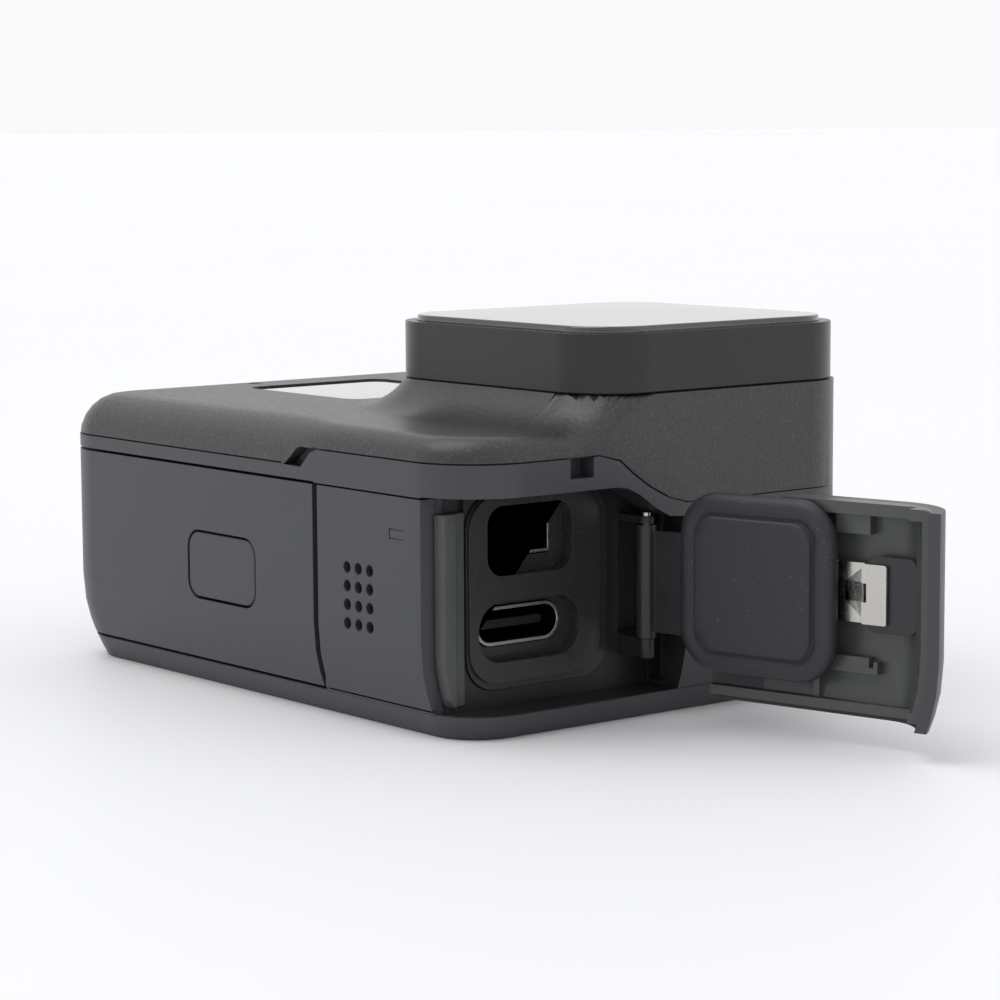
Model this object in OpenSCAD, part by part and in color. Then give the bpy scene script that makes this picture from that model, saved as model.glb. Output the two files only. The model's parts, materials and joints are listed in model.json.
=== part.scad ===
// Action camera lying on its rear display, lens up, with its side door open.
// Origin: middle of the rear face. +X: port side, +Y: shutter side, +Z: lens side.

/* [Body] */
// Width of the body
body_w = 62.3; // [60:0.1:66]
// Height of the body, bottom face to shutter face
body_h = 44.9; // [43:0.1:48]
// Radius of the four corners seen from the front
corner_r = 6.4; // [5.5:0.1:7]
// Depth of the body at the front display
front_z = 24.8; // [24.2:0.1:26]
// Radius where the sides turn into the front
front_round = 4; // [3:0.1:4.5]
// Wall of the main housing
wall = 1.5; // [1.2:0.1:1.8]

/* [Rear] */
// How far the rear edge is drawn in
rear_inset = 2.2; // [1.5:0.1:2.5]
// Height over which the rear edge curves in
rear_curve = 8; // [7:0.5:9]
// Top of the rear bezel
bezel_z = 2.05; // [1.9:0.05:2.3]

/* [Lens] */
// Side of the square lens housing
lens_w = 29.9; // [28:0.1:31]
// Radius of the lens housing's corners
lens_r = 5.7; // [4:0.1:6.5]
// Middle of the lens, across
lens_x = 15.8; // [15:0.1:16]
// Middle of the lens, upwards
lens_y = 7.1; // [6.5:0.1:7.3]
// Foot of the lens housing
lens_seat_z = 27.4; // [27:0.1:28]
// Front of the lens cover
lens_top_z = 33; // [32.5:0.1:34]

/* [Doors] */
// Lower edge of both doors
door_low = 2.35; // [2.3:0.05:2.6]
// Upper edge of both doors
door_high = 19.7; // [19:0.1:19.8]
// Free end of the battery door
battery_door_end = 10.7; // [9:0.1:10.9]
// Ends of the speaker panel
panel_from = 11.4; // [11.3:0.1:12]
panel_to = 25.55; // [25:0.05:25.6]
// Thickness of the doors' skins
skin = 1.05; // [0.9:0.05:1.1]

/* [Side door] */
// Angle that the side door stands open
open_angle = 103; // [90:1:105]
// Way that the door shell slides out along its carriage
shell_slide = 6.25; // [5:0.05:6.5]
// Way that the carriage slides out along the hinge arm
carriage_slide = 2.6; // [2:0.1:3]

/* [Hidden] */

half_w = body_w/2;
half_h = body_h/2;
e = 0.01;
gap = 0.25;
body_fn = 48;
lens_left = lens_x - lens_w/2;
lens_low = lens_y - lens_w/2;

// Seam between the main housing and the front shell, with its slanted notch
shell_low_z = 21.1;
shell_high_z = 22.65;
skirt_z = 18.1;
notch_from = 6.5;
notch_to = 11.66;
port_round = front_z - shell_high_z;
seam_w = 0.16;
seam_depth = 0.5;

// Flare round the lens housing: an arc that leaves the front face smoothly
flare_out = 5;
flare_up = lens_seat_z - front_z;
flare_r = (flare_out*flare_out + flare_up*flare_up)/(2*flare_up);
flare_corner_x = lens_x + lens_w/2 - lens_r;
flare_corner_y = lens_low + lens_r;

// Side door hinge axis
hinge_x = 29.1;
hinge_y = -1.25;
barrel_r = 0.86;
pin_r = 0.4;
boss_r = 0.7;
barrel_low = 6.7;
barrel_high = 16.3;

// Port bay
bay_floor_x = 26;
port_face_x = 26.6;
bay_end_y = 1.6;
port_y = -12.2;
pad_y = -10.55;
data_z = 8.6;
video_z = 16;

// Battery door hinge axis
battery_hinge_x = -30.1;
battery_hinge_y = -13.6;
nose_r = half_w + battery_hinge_x;

// Battery
battery_x = -9.8;
battery_w = 33.4;
battery_len = 38.2;
battery_t = 11.8;
battery_y = -20;
battery_z = 4.9;

// Front status window
window_left = -22.6;
window_right = -5.2;
window_low = -6.3;
window_high = 9.2;
lamp_x = -26;
lamp_y = -3;

// Shutter and mode buttons
shutter_x = -12;
button_z = 12;
mode_y = 6;

// A rectangle with round corners, centred
module round_rect(w, h, r, fn = body_fn) {
  union() {
    square([w - 2*r, h], center = true);
    if (h > 2*r) square([w, h - 2*r], center = true);
    for (sx = [-1, 1], sy = [-1, 1]) translate([sx*(w/2 - r), sy*(h/2 - r)]) circle(r, $fn = fn);
  }
}

// The body's plan, drawn in by some inset
module plan(inset = 0) {
  round_rect(body_w - 2*inset, body_h - 2*inset, corner_r - inset);
}

function rear_in(z) = rear_inset*pow(max(1 - z/rear_curve, 0), 2.1);

// The body's outer form up to a height, with the rear edge curved in, less a skin
module rear_form(top, off = 0) {
  hull() {
    for (z = [0, 1, 2.2, 3.6, 5.4]) translate([0, 0, z]) linear_extrude(e) plan(rear_in(z) + off);
    translate([0, 0, rear_curve]) linear_extrude(top - rear_curve) plan(off);
  }
}

// The body's form towards the front face, with its edge rounded
module front_form(r) {
  hull() {
    translate([0, 0, 15]) linear_extrude(e) plan();
    for (a = [0:15:90]) translate([0, 0, front_z - r + r*sin(a) - e]) linear_extrude(e) plan(r*(1 - cos(a)));
  }
}

// A box given by its lowest and highest corners
module span(low, high) {
  translate(low) cube(high - low);
}

// A plate with round corners in the Y-Z plane, facing +X
module side_plate(x0, x1, y, z, w, h, r) {
  translate([x0, y, z]) rotate([90, 0, 90]) linear_extrude(x1 - x0) round_rect(w, h, r, 32);
}

// A plate with round corners in the X-Z plane, from y0 towards +Y
module face_plate(y0, y1, x, z, w, h, r) {
  translate([x, y1, z]) rotate([90, 0, 0]) linear_extrude(y1 - y0) round_rect(w, h, r, 32);
}

// Region of the side door's outline, seen from the side: the top slopes down at the hinge
module side_door_outline(grow = 0) {
  polygon([[-half_h - 1, door_low - grow], [1.24 + grow, door_low - grow], [1.24 + grow, 16.7 + grow],
    [-0.4, 16.85 + grow], [-1.9, 17.6 + grow], [-3.8, 18.9 + grow], [-5, 19.5 + grow],
    [-6.3, door_high + grow], [-half_h - 1, door_high + grow]]);
}

module side_door_block(x0, grow = 0) {
  translate([x0, 0, 0]) rotate([90, 0, 90]) linear_extrude(half_w + 1 - x0) side_door_outline(grow);
}

// The front shell's skirt on the port side, seen from the side
module skirt_outline() {
  polygon([[1.5, skirt_z], [half_h + 1, skirt_z], [half_h + 1, shell_high_z + 0.1],
    [-8.2, shell_high_z + 0.1], [-8.2, shell_high_z], [-6, 22.1], [-4.5, 20.9], [-2.7, 19.7], [-0.5, 18.6]]);
}

// Everything in front of the seam between the main housing and the front shell
module front_region() {
  span([-half_w - 1, -half_h - 1, shell_low_z], [notch_from + 1.3, half_h + 1, 40]);
  span([notch_from + 1.2, -half_h - 1, shell_high_z], [half_w + 1, half_h + 1, 40]);
  translate([half_w - 2.2, 0, 0]) rotate([90, 0, 90]) linear_extrude(3.2) skirt_outline();
  // its skirt on the shutter side, with a slanted step
  translate([0, half_h + 1, 0]) rotate([90, 0, 0]) linear_extrude(3.2)
    polygon([[6, shell_low_z], [9, skirt_z], [half_w + 1, skirt_z], [half_w + 1, shell_high_z + 0.1],
      [6, shell_high_z + 0.1]]);
}

// The slanted notch in the seam on the bottom face
module seam_notch() {
  translate([0, -half_h + 1.2, 0]) rotate([90, 0, 0]) linear_extrude(2)
    polygon([[notch_from, shell_low_z - 0.05], [9, 21], [10.4, 22.3], [notch_to, 22.72], [8.76, 22.72]]);
}

// Thin shadow grooves along the seam: low, high, and down the port side's skirt
module seam_grooves() {
  intersection() {
    translate([0, 0, shell_low_z - 0.02]) linear_extrude(seam_w) seam_ring();
    span([-half_w - 1, -half_h - 1, 0], [notch_from - 0.3, half_h + 1, 40]);
  }
  intersection() {
    translate([0, 0, shell_high_z - 0.02]) linear_extrude(seam_w) seam_ring();
    span([notch_to - 1, -half_h - 1, 0], [half_w + 1, -8.2, 40]);
  }
  translate([half_w - seam_depth, 0, 0]) rotate([90, 0, 90]) linear_extrude(2) difference() {
    skirt_outline();
    translate([0.8*seam_w, 0.6*seam_w]) skirt_outline();
  }
}

module seam_ring() {
  difference() {
    plan(-1);
    plan(seam_depth);
  }
}

// The bay behind the open side door, and the port side's catch notch
module side_bay() {
  intersection() {
    side_door_block(bay_floor_x, gap);
    span([bay_floor_x, -20.4, 0], [half_w + 1, bay_end_y, 25]);
  }
  span([panel_to, -half_h - 1, door_low - gap], [half_w + 1, -20.05, door_high + gap]);
}

// Region of the battery door, round the left corner to its hinge nose
module battery_door_region(grow = 0) {
  // the nose needs square room beside it to turn, so only the housing's cut has that
  if (grow > 0) span([-half_w - 1, battery_hinge_y, door_low - grow],
    [battery_hinge_x, battery_hinge_y + nose_r + grow, door_high + grow]);
  span([-half_w - 1, -half_h - 1, door_low - grow],
    [battery_door_end + grow, -half_h + 2 + grow, door_high + grow]);
  span([-half_w - 1, -half_h - 1, door_low - grow], [-half_w + 2 + grow, battery_hinge_y, door_high + grow]);
  span([-half_w, -half_h, door_low - grow], [-half_w + corner_r, -half_h + corner_r, door_high + grow]);
  translate([battery_hinge_x, battery_hinge_y, door_low - grow])
    cylinder(r = nose_r + grow, h = door_high - door_low + 2*grow, $fn = 32);
}

module rear_bezel() {
  color([0.2, 0.2, 0.21]) difference() {
    intersection() {
      rear_form(20);
      span([-40, -40, 0], [40, 40, bezel_z]);
    }
    translate([0, 0, -1]) linear_extrude(4) round_rect(49.2, 33.2, 2.6);
  }
}

module rear_display_glass() {
  color([0.03, 0.03, 0.035]) linear_extrude(0.8) round_rect(49, 33, 2.5);
}

module rear_display_panel() {
  color([0.06, 0.06, 0.08]) span([-23.5, -15.5, 0.85], [23.5, 15.5, 2.4]);
}

module main_housing() {
  color([0.3, 0.3, 0.32]) {
    housing_shell();
    // bosses that hold the side hinge's pin, standing on the bay's floor
    pin_boss(barrel_low - 1.7, barrel_low - 0.08);
    pin_boss(barrel_high + 0.08, barrel_high + 0.7);
  }
}

module housing_shell() {
  difference() {
    intersection() {
      rear_form(shell_high_z);
      span([-40, -40, bezel_z], [40, 40, shell_high_z]);
    }
    front_region();
    seam_notch();
    // battery and electronics bays
    difference() {
      translate([0, 0.4, 2.5]) linear_extrude(30) round_rect(body_w - 2*wall - 3, body_h - 2*wall - 2.8, 4.5);
      span([7.3, -20, 2], [8.5, 20, 19.6]);
      span([8.4, -20, 2], [bay_floor_x + 3, -17.9, 22]);
      span([24.2, -20, 2], [bay_floor_x + 0.1, -2.8, 22]);
      span([24.2, -3, 2], [bay_floor_x + 0.1, 4, 19.6]);
      span([25.6, 3, 2], [bay_floor_x + 3, 4, 22]);
    }
    translate([0, 0, -1]) linear_extrude(4) round_rect(49.4, 33.4, 2.6);
    side_bay();
    span([25.5, -20.2, 2.5], [bay_floor_x + 1, -18.3, 19.5]);
    port_flange(24, bay_floor_x + 1, 0.06);
    // deep slot under the side hinge's barrel
    span([24.8, -1.7, barrel_low], [bay_floor_x + 0.1, 1.2, barrel_high]);
    // shadow gap between the battery door and the speaker panel
    span([battery_door_end, -half_h - 1, door_low - gap], [panel_from, -half_h + 1, door_high + 0.15]);
    // room behind the side door's hinge end
    span([bay_floor_x, -5, door_low - gap], [half_w - 1.6, bay_end_y, 16.9]);
    battery_door_region(gap);
    span([battery_x - battery_w/2 - 0.3, -half_h + 1, battery_z - 0.3],
      [battery_x + battery_w/2 + 0.3, 19, battery_z + battery_t + 0.3]);
    // panel seat and speaker chamber
    span([panel_from - 0.05, -half_h - 1, door_low - 0.15],
      [panel_to + 0.05, -half_h + 1.65, door_high + 0.15]);
    span([12.4, -half_h, 6], [22.4, -17, 15.6]);
    // rectangular notch in the port side's seam
    span([29.4, -11.3, 21], [half_w + 1, -8.8, shell_high_z + 1]);
    // shutter and mode button bores
    translate([shutter_x, 18, button_z]) rotate([-90, 0, 0]) cylinder(r = 5.3, h = 6, $fn = 48);
    side_plate(-half_w - 1, -27, mode_y, button_z, 8.3, 4.3, 2.1);
    // microphone ports on the shutter face
    for (x = [2, 5]) translate([x, 18, 14]) rotate([-90, 0, 0]) cylinder(r = 0.6, h = 6, $fn = 24);
  }
}

// Section of the concave flare at the foot of the lens housing, from the housing outwards
module flare_section() {
  difference() {
    translate([0, skirt_z]) square([flare_out, lens_seat_z - skirt_z]);
    translate([flare_out, front_z + flare_r]) circle(flare_r, $fn = 96);
  }
}

// Shoulder that rises to the lens housing: a block, and the flare on its two inner sides
module shoulder() {
  span([lens_left - 0.02, lens_low + lens_r, skirt_z], [half_w, half_h, lens_seat_z]);
  span([lens_left + lens_r, lens_low - 0.02, skirt_z], [flare_corner_x, half_h, lens_seat_z]);
  translate([lens_left + lens_r, lens_low + lens_r, skirt_z])
    cylinder(r = lens_r + 0.02, h = lens_seat_z - skirt_z, $fn = 64);
  translate([lens_left, half_h, 0]) rotate([90, 0, 0]) mirror([1, 0, 0])
    linear_extrude(half_h - lens_low - lens_r) flare_section();
  translate([lens_left + lens_r, lens_low, 0]) rotate([90, 0, 90]) mirror([1, 0, 0])
    linear_extrude(flare_corner_x - lens_left - lens_r) flare_section();
  translate([lens_left + lens_r, lens_low + lens_r, 0]) rotate([0, 0, 180])
    rotate_extrude(angle = 90, $fn = 96) translate([lens_r, 0]) flare_section();
  shoulder_corner();
}

// Height of the flare at some distance from the lens housing
function flare_z(d) = front_z + flare_r
  - sqrt(flare_r*flare_r - pow(flare_out - min(max(d, 0), flare_out), 2));

// Distance from the lens housing, round its port-side corner
function corner_d(x, y) = x < flare_corner_x ? flare_corner_y - lens_r - y
  : lens_r*(norm([(x - flare_corner_x)/(half_w - flare_corner_x), (flare_corner_y - y)/lens_r]) - 1);

// How far the port edge falls away, fading out towards the lens housing
function edge_fall(u, y) = port_round*(1 - sqrt(max(1 - u*u, 0)))
  *min(max((flare_corner_y - y)/edge_fade, 0), 1);

// The shoulder's port-side corner, where the flare turns round and melts into the port side
edge_fade = 9;
flat_steps = 6;
round_steps = 8;
rows = 16;
row_len = 11;
corner_sink = 0.03;
function column_u(i) = i <= flat_steps ? 0 : sin(min(90*(i - flat_steps)/round_steps, 90));
function column_x(i) = i > flat_steps + round_steps ? half_w + 0.5
  : i == flat_steps + round_steps ? half_w + corner_sink
  : i > flat_steps ? half_w - port_round*(1 - column_u(i))
  : flare_corner_x + (half_w - port_round - flare_corner_x)*i/flat_steps;
function row_y(j) = flare_corner_y - row_len*j/rows;

module shoulder_corner() {
  last = flat_steps + round_steps + 1;
  wide = rows + 1;
  under = (last + 1)*wide;
  surface = [for (i = [0:last], j = [0:rows]) [column_x(i), row_y(j),
    flare_z(corner_d(column_x(i), row_y(j))) - edge_fall(column_u(i), row_y(j)) - corner_sink]];
  feet = [for (i = [0:last], j = [0:rows]) [column_x(i), row_y(j), skirt_z]];
  cells = [for (i = [0:last - 1], j = [0:rows - 1]) i*wide + j];
  lids = [for (c = cells, h = [0, 1]) h == 0 ? [c, c + wide, c + wide + 1] : [c, c + wide + 1, c + 1]];
  soles = [for (t = lids) [t[2] + under, t[1] + under, t[0] + under]];
  rim = concat([for (i = [0:last - 1]) [i*wide, (i + 1)*wide]],
    [for (j = [0:rows - 1]) [last*wide + j, last*wide + j + 1]],
    [for (i = [0:last - 1]) [(i + 1)*wide + rows, i*wide + rows]],
    [for (j = [0:rows - 1]) [j + 1, j]]);
  walls = [for (r = rim) [r[1], r[0], r[0] + under, r[1] + under]];
  polyhedron(concat(surface, feet), concat(lids, soles, walls));
}

module front_shell() {
  color([0.33, 0.33, 0.34]) difference() {
    intersection() {
      union() {
        front_form(front_round);
        // the port end stands straight up to the high seam
        hull() {
          intersection() {
            front_form(front_round);
            span([notch_from, -40, 10], [notch_from + e, 40, 40]);
          }
          intersection() {
            front_form(port_round);
            span([notch_to, -40, 10], [40, 40, 40]);
          }
        }
        shoulder();
      }
      front_region();
      translate([0, 0, 10]) linear_extrude(30) plan();
    }
    // hollow behind the skin
    difference() {
      translate([0, 0, 10]) linear_extrude(front_z - 1.3 - 10)
        round_rect(body_w - 4.4, body_h - 4.4, corner_r - 1.6);
      span([bay_floor_x - 1, -30, skirt_z], [30, -18, 21]);
    }
    translate([lens_x, lens_y, 20]) linear_extrude(10) round_rect(lens_w - 3.4, lens_w - 3.4, 4.2);
    // status window seat
    translate([(window_left + window_right)/2, (window_low + window_high)/2, front_z - 0.9])
      linear_extrude(2) round_rect(window_right - window_left + 0.2, window_high - window_low + 0.2, 1.6);
    translate([(window_left + window_right)/2, (window_low + window_high)/2, front_z - 3])
      linear_extrude(4) round_rect(window_right - window_left - 2.4, window_high - window_low - 2.4, 0.8);
    translate([lamp_x, lamp_y, front_z - 3]) cylinder(r = 0.65, h = 4, $fn = 24);
    seam_notch();
    span([29.4, -11.3, 21], [half_w + 1, -8.8, shell_high_z]);
    seam_grooves();
  }
}

module speaker_panel() {
  color([0.29, 0.29, 0.31]) difference() {
    intersection() {
      rear_form(20);
      span([panel_from, -half_h - 1, door_low], [panel_to, -half_h + 1.6, door_high]);
    }
    for (i = [0:2], j = [0:3])
      translate([15.57 + 1.565*i, -half_h - 1, 8.5 + 1.57*j]) rotate([-90, 0, 0])
        cylinder(r = 0.5, h = 4, $fn = 24);
    // engraved mark, open to the port side
    face_plate(-half_h - 1, -half_h + 0.12, 22.4, 17, 1.9, 0.14, 0.06);
    face_plate(-half_h - 1, -half_h + 0.12, 22.4, 16.25, 1.9, 0.14, 0.06);
    face_plate(-half_h - 1, -half_h + 0.12, 21.5, 16.62, 0.14, 0.88, 0.06);
  }
}

module speaker_mesh() {
  color([0.1, 0.1, 0.1]) face_plate(-half_h + 1.6, -half_h + 1.8, 17.13, 10.85, 6, 7.2, 1);
}

module speaker_driver() {
  color([0.15, 0.15, 0.15]) face_plate(-half_h + 1.85, -17.6, 17.2, 10.8, 9.4, 9, 2);
}

module lens_housing() {
  color([0.17, 0.17, 0.18]) difference() {
    union() {
      translate([lens_x, lens_y, lens_seat_z + 0.12]) linear_extrude(lens_top_z - 0.55 - lens_seat_z - 0.12)
        round_rect(lens_w, lens_w, lens_r);
      translate([lens_x, lens_y, lens_seat_z]) linear_extrude(0.2)
        round_rect(lens_w - 0.7, lens_w - 0.7, lens_r - 0.35);
    }
    translate([lens_x, lens_y, lens_top_z - 1.4]) linear_extrude(2)
      round_rect(lens_w - 2, lens_w - 2, lens_r - 1);
    translate([lens_x, lens_y, 20]) linear_extrude(15) round_rect(lens_w - 4.4, lens_w - 4.4, lens_r - 2);
  }
}

module lens_gasket() {
  color([0.08, 0.08, 0.08]) translate([lens_x, lens_y, lens_top_z - 1.38]) linear_extrude(0.3) difference() {
    round_rect(lens_w - 2.1, lens_w - 2.1, lens_r - 1.05);
    round_rect(lens_w - 4.4, lens_w - 4.4, lens_r - 2);
  }
}

module lens_cover_glass() {
  color([0.5, 0.55, 0.6]) translate([lens_x, lens_y, lens_top_z - 1.06])
    linear_extrude(1.06) round_rect(lens_w - 2.1, lens_w - 2.1, lens_r - 1.05);
}

module lens_barrel() {
  color([0.08, 0.08, 0.085]) translate([lens_x, lens_y, 0]) difference() {
    union() {
      translate([0, 0, 8]) cylinder(r = 7, h = 12, $fn = 64);
      translate([0, 0, 19.9]) cylinder(r = 9.6, h = 8, $fn = 64);
      translate([0, 0, 27.8]) cylinder(r = 11.5, h = 3, $fn = 64);
    }
    translate([0, 0, 7]) cylinder(r = 5, h = 15, $fn = 64);
    translate([0, 0, 21.2]) cylinder(r = 7.5, h = 7, $fn = 64);
    translate([0, 0, 27]) cylinder(r1 = 7.5, r2 = 10.4, h = 4, $fn = 64);
  }
}

module lens_front_element() {
  color([0.35, 0.4, 0.5]) translate([lens_x, lens_y, 0]) intersection() {
    translate([0, 0, 24]) cylinder(r = 7.4, h = 6, $fn = 64);
    translate([0, 0, 18.5]) sphere(r = 10, $fn = 64);
  }
}

module lens_rear_element() {
  color([0.35, 0.4, 0.5]) translate([lens_x, lens_y, 12]) cylinder(r = 4.9, h = 2.5, $fn = 64);
}

module sensor_board() {
  color([0.05, 0.3, 0.15]) {
    span([lens_x - 7, lens_y - 7, 6.6], [lens_x + 7, lens_y + 7, 7.4]);
    span([lens_x - 4, lens_y - 4, 7.3], [lens_x + 4, lens_y + 4, 7.9]);
  }
}

module front_display_glass() {
  color([0.04, 0.04, 0.05])
    translate([(window_left + window_right)/2, (window_low + window_high)/2, front_z - 0.9])
    linear_extrude(0.75) round_rect(window_right - window_left, window_high - window_low, 1.5);
}

module front_display_panel() {
  color([0.1, 0.1, 0.12])
    translate([(window_left + window_right)/2, (window_low + window_high)/2, front_z - 2.4])
    linear_extrude(1.5) round_rect(window_right - window_left - 2.8, window_high - window_low - 2.8, 0.6);
}

module main_board() {
  color([0.05, 0.3, 0.15]) {
    span([-26, -18, 19], [5.8, 17, 19.8]);
    span([-22, -12, 17.7], [-12, -2, 19.1]);
    span([-6, 2, 17.7], [2, 10, 19.1]);
  }
}

module heat_spreader() {
  color([0.7, 0.7, 0.72]) difference() {
    span([-26, -17, 20.1], [5.8, 16.5, 20.7]);
    for (x = [-24, 4.5], y = [-15, 14.5]) translate([x, y, 19]) cylinder(r = 0.8, h = 3, $fn = 24);
  }
}

module battery() {
  color([0.25, 0.25, 0.27]) span([battery_x - battery_w/2, battery_y, battery_z],
    [battery_x + battery_w/2, battery_y + battery_len, battery_z + battery_t]);
}

module battery_pull_tab() {
  color([0.15, 0.35, 0.7])
    span([battery_x - 4, battery_y - 0.25, battery_z + 1], [battery_x + 4, battery_y, battery_z + 9]);
}

module battery_contacts() {
  color([0.75, 0.65, 0.3]) for (i = [-2:2])
    span([battery_x + 2.5*i - 0.6, battery_y + battery_len, battery_z + 3],
      [battery_x + 2.5*i + 0.6, battery_y + battery_len + 0.75, battery_z + 8]);
}

module memory_card_slot() {
  color([0.6, 0.6, 0.62]) difference() {
    span([9.3, -16.5, 3.2], [12.2, 0, 17]);
    span([10.1, -17, 4.4], [11.2, -1.2, 15.8]);
  }
}

module memory_card() {
  color([0.08, 0.08, 0.08]) span([10.2, -16.8, 4.6], [11, -1.9, 15.6]);
}

// Low step round the port plate
module port_flange(x0, x1, grow = 0) {
  side_plate(x0, x1, -10.7, 11.6, 15.1 + 2*grow, 16.2 + 2*grow, 2.9 + grow);
}

module port_plate() {
  color([0.2, 0.2, 0.21]) difference() {
    union() {
      side_plate(24.25, port_face_x, -11.2, 11.85, 14, 15.6, 3);
      port_flange(24.25, bay_floor_x + 0.25);
    }
    side_plate(25.2, port_face_x + 1, port_y + 0.3, data_z - 0.35, 10.7, 5, 2.3);
    side_plate(25.2, port_face_x + 1, port_y + 0.4, video_z - 0.2, 9, 5.8, 1.6);
    side_plate(20, 30, port_y, data_z, 9.1, 3.4, 1.7);
    side_plate(20, 30, port_y, video_z, 7.2, 3.6, 0.2);
  }
}

module port_board() {
  color([0.05, 0.3, 0.15]) span([17.6, -17.4, 4], [18.4, -5, 18.8]);
}

module data_port_shell() {
  color([0.75, 0.75, 0.77]) difference() {
    side_plate(18.4, 25.4, port_y, data_z, 8.94, 3.26, 1.63);
    side_plate(18.8, 26, port_y, data_z, 8.34, 2.66, 1.33);
  }
}

module data_port_tongue() {
  color([0.07, 0.07, 0.07]) side_plate(18.8, 24.4, port_y, data_z, 6.7, 0.7, 0.3);
}

// Video receptacle outline: two corners on its upper side are cut off
module video_outline(w, h, cut) {
  polygon([[-w/2, -h/2], [w/2, -h/2], [w/2, h/2 - cut], [w/2 - cut, h/2],
    [-w/2 + cut, h/2], [-w/2, h/2 - cut]]);
}

module video_port_shell() {
  color([0.78, 0.78, 0.8]) difference() {
    translate([18.4, port_y, video_z]) rotate([90, 0, 90]) linear_extrude(7) video_outline(6.9, 3.3, 1);
    translate([18.8, port_y, video_z]) rotate([90, 0, 90]) linear_extrude(8) video_outline(6.4, 2.8, 0.9);
  }
}

module video_port_contacts() {
  color([0.75, 0.65, 0.35]) {
    side_plate(18.8, 24.2, port_y, video_z, 4.6, 0.6, 0.1);
    for (i = [-4:4])
      span([19, port_y + 0.48*i - 0.11, video_z + 0.25], [24.1, port_y + 0.48*i + 0.11, video_z + 0.42]);
  }
}

module bay_corner_post() {
  color([0.36, 0.36, 0.38]) intersection() {
    translate([0, 0, 2.55]) linear_extrude(15.9)
      polygon([[25.6, -21.1], [26.6, -20.8], [26.6, -19.5], [26.2, -19.4], [26.2, -18.4], [25.6, -18.4]]);
    // clear of the closed door's skin where the rear edge curves in
    rear_form(20, skin + 0.15);
  }
}

// Places a piece modelled closed at the door's open angle
module opened(slide) {
  translate([hinge_x, hinge_y, 0]) rotate(open_angle) translate([-hinge_x, -hinge_y - slide, 0]) children();
}

module pin_boss(low, high) {
  difference() {
    union() {
      translate([hinge_x, hinge_y, low]) cylinder(r = boss_r, h = high - low, $fn = 32);
      span([bay_floor_x - 0.5, hinge_y - 0.5, low], [hinge_x, hinge_y + 0.5, high]);
    }
    translate([hinge_x, hinge_y, low - 1]) cylinder(r = pin_r + 0.01, h = high - low + 2, $fn = 32);
  }
}

module side_hinge_pin() {
  color([0.8, 0.8, 0.8]) translate([hinge_x, hinge_y, barrel_low - 1.6])
    cylinder(r = pin_r, h = barrel_high - barrel_low + 2.6, $fn = 32);
}

module side_hinge_arm() {
  color([0.25, 0.25, 0.27]) opened(0) difference() {
    union() {
      translate([hinge_x, hinge_y, barrel_low])
        cylinder(r = barrel_r, h = barrel_high - barrel_low, $fn = 48);
      span([29, -9.6, 7.2], [29.5, hinge_y, 15.8]);
    }
    translate([hinge_x, hinge_y, 0]) cylinder(r = pin_r + 0.06, h = 25, $fn = 32);
  }
}

module seal_carriage() {
  color([0.3, 0.3, 0.32]) opened(carriage_slide) difference() {
    side_plate(28.3, 28.9, -8.45, 12.2, 8.7, 12.6, 2);
    span([28, -9.75, 11], [30, -7.75, 13]);
  }
}

module seal_pad() {
  color([0.24, 0.24, 0.27]) opened(carriage_slide) {
    side_plate(27.1, 28.3, pad_y, 12.2, 14.9, 14.9, 3.6);
    side_plate(26.75, 27.2, pad_y, 12.2, 11.2, 10.8, 1.4);
  }
}

module side_door_shell() {
  color([0.3, 0.3, 0.32]) opened(carriage_slide + shell_slide) difference() {
    intersection() {
      rear_form(20);
      side_door_block(panel_to + 0.3);
    }
    // inside of the skin
    rear_form(30, skin);
  }
}

// Moulding inside the side door's skin: a liner, rims, catches and the wall at the free end
module side_door_carrier() {
  low = door_low + 0.4;
  color([0.36, 0.37, 0.37]) opened(carriage_slide + shell_slide) intersection() {
    rear_form(20, skin);
    side_door_block(25.95);
    difference() {
      union() {
        span([28.5, -20, low], [half_w, hinge_y + 2, low + 0.8]);
        span([28.5, -20, door_high - 1], [half_w, -5.2, door_high]);
        difference() {
          span([28.5, -20, low], [half_w, 1, door_high]);
          rear_form(30, skin + 0.2);
        }
        // free end, clear of the bay's corner post
        difference() {
          union() {
            span([26.7, -half_h, low], [half_w, -20.55, door_high]);
            span([27.2, -20.6, low], [half_w, -18.75, door_high]);
          }
          intersection() {
            rear_form(30, skin + 0.75);
            span([0, -40, low + 0.8], [40, 0, door_high - 0.95]);
          }
        }
        // upper block, hook and post beside the latch
        span([29, -14.2, 17.1], [half_w, -11, door_high]);
        span([28.95, -15, 5.9], [half_w, -10.6, 6.4]);
        span([28.95, -14.2, 5.9], [half_w, -10.6, 7.2]);
        span([28.95, -15, 5.9], [half_w, -14.6, 6.9]);
        span([28.95, -9.6, 3.5], [half_w, -9, 5.4]);
      }
      // room for the hinge arm's barrel
      span([hinge_x - 2, -4, low + 0.8], [half_w - skin - 0.1, 5, 30]);
    }
  }
}

module latch_slider() {
  color([0.27, 0.27, 0.3]) opened(carriage_slide + shell_slide)
    side_plate(28.8, 29.05, -16.3, 12.4, 4.7, 6.1, 0.8);
}

module latch_plate() {
  color([0.85, 0.83, 0.8]) opened(carriage_slide + shell_slide) difference() {
    union() {
      // front leaf over the slider, and a lower leaf that passes under the seal's carriage
      side_plate(28.42, 28.75, -14.9, 12.4, 2.3, 4.85, 0.2);
      span([28.42, -13.9, 10.2], [29.28, -13.75, 14.6]);
      side_plate(28.95, 29.28, -12.35, 12.4, 3, 4.85, 0.2);
    }
    span([28, -14.2, 11.75], [30, -12, 13.25]);
  }
}

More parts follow.
